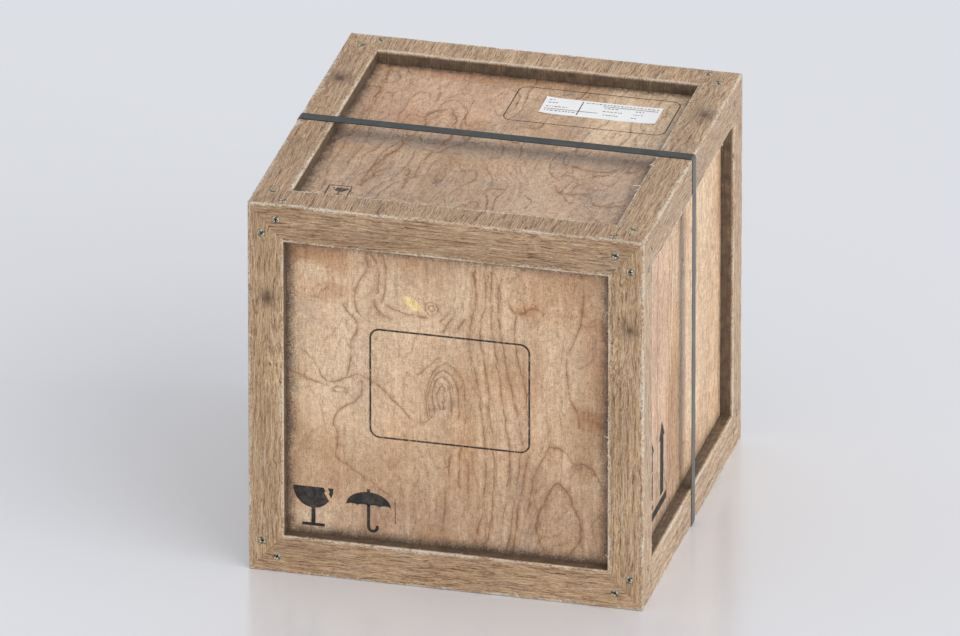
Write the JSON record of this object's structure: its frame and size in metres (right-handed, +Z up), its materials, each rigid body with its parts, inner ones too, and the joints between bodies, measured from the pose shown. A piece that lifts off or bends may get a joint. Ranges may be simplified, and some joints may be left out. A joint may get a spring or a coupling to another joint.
{
  "type": "shipping crate",
  "caption": "Cube-shaped wooden shipping crate with a mitred timber frame, recessed plywood panels, a lift-off lid and a steel strap round its middle.",
  "frame": {"origin": "centre of the crate's footprint, on the surface it stands on", "axes": "+X to the crate's right, -Y out of its front face, which carries the large handling marks, +Z up"},
  "size_m": [0.5032, 0.513, 0.5001],
  "materials": {
    "timber": "sawn, weathered, worn pale at the edges",
    "plywood": "rotary-cut veneer, unpainted",
    "zinc_screw": "zinc plated",
    "strap": "dark lacquered steel band",
    "strap_seal": "crimped sheet steel"
  },
  "bodies": {
    "crate": {"back_panel": "plywood", "base_panel": "plywood", "base_rail_back": "timber", "base_rail_front": "timber", "base_rail_left": "timber", "base_rail_right": "timber", "front_panel": "plywood", "front_screw_bottom_left_in_post": "zinc_screw", "front_screw_bottom_left_in_rail": "zinc_screw", "front_screw_bottom_right_in_post": "zinc_screw", "front_screw_bottom_right_in_rail": "zinc_screw", "front_screw_top_left_in_post": "zinc_screw", "front_screw_top_right_in_post": "zinc_screw", "left_panel": "plywood", "left_screw_bottom_back_in_post": "zinc_screw", "left_screw_bottom_back_in_rail": "zinc_screw", "left_screw_bottom_front_in_post": "zinc_screw", "left_screw_bottom_front_in_rail": "zinc_screw", "left_screw_top_back_in_post": "zinc_screw", "left_screw_top_front_in_post": "zinc_screw", "post_back_left": "timber", "post_back_right": "timber", "post_front_left": "timber", "post_front_right": "timber", "right_panel": "plywood", "right_screw_bottom_back_in_post": "zinc_screw", "right_screw_bottom_back_in_rail": "zinc_screw", "right_screw_bottom_front_in_post": "zinc_screw", "right_screw_bottom_front_in_rail": "zinc_screw", "right_screw_top_back_in_post": "zinc_screw", "right_screw_top_front_in_post": "zinc_screw", "strap_seal": "strap_seal", "strap_under_base": "strap"},
    "lid": {"front_screw_top_left_in_rail": "zinc_screw", "front_screw_top_right_in_rail": "zinc_screw", "left_screw_top_back_in_rail": "zinc_screw", "left_screw_top_front_in_rail": "zinc_screw", "lid_panel": "plywood", "lid_rail_back": "timber", "lid_rail_front": "timber", "lid_rail_left": "timber", "lid_rail_right": "timber", "lid_screw_back_left_in_cross_rail": "zinc_screw", "lid_screw_back_left_in_side_rail": "zinc_screw", "lid_screw_back_right_in_cross_rail": "zinc_screw", "lid_screw_back_right_in_side_rail": "zinc_screw", "lid_screw_front_left_in_cross_rail": "zinc_screw", "lid_screw_front_left_in_side_rail": "zinc_screw", "lid_screw_front_right_in_cross_rail": "zinc_screw", "lid_screw_front_right_in_side_rail": "zinc_screw", "right_screw_top_back_in_rail": "zinc_screw", "right_screw_top_front_in_rail": "zinc_screw", "strap_over_lid": "strap"}
  },
  "joints": [
    {"name": "lid_lift", "type": "slide", "parent": "crate", "child": "lid", "axis": [0, 0, 1], "range_m": [0, 0.45]}
  ]
}
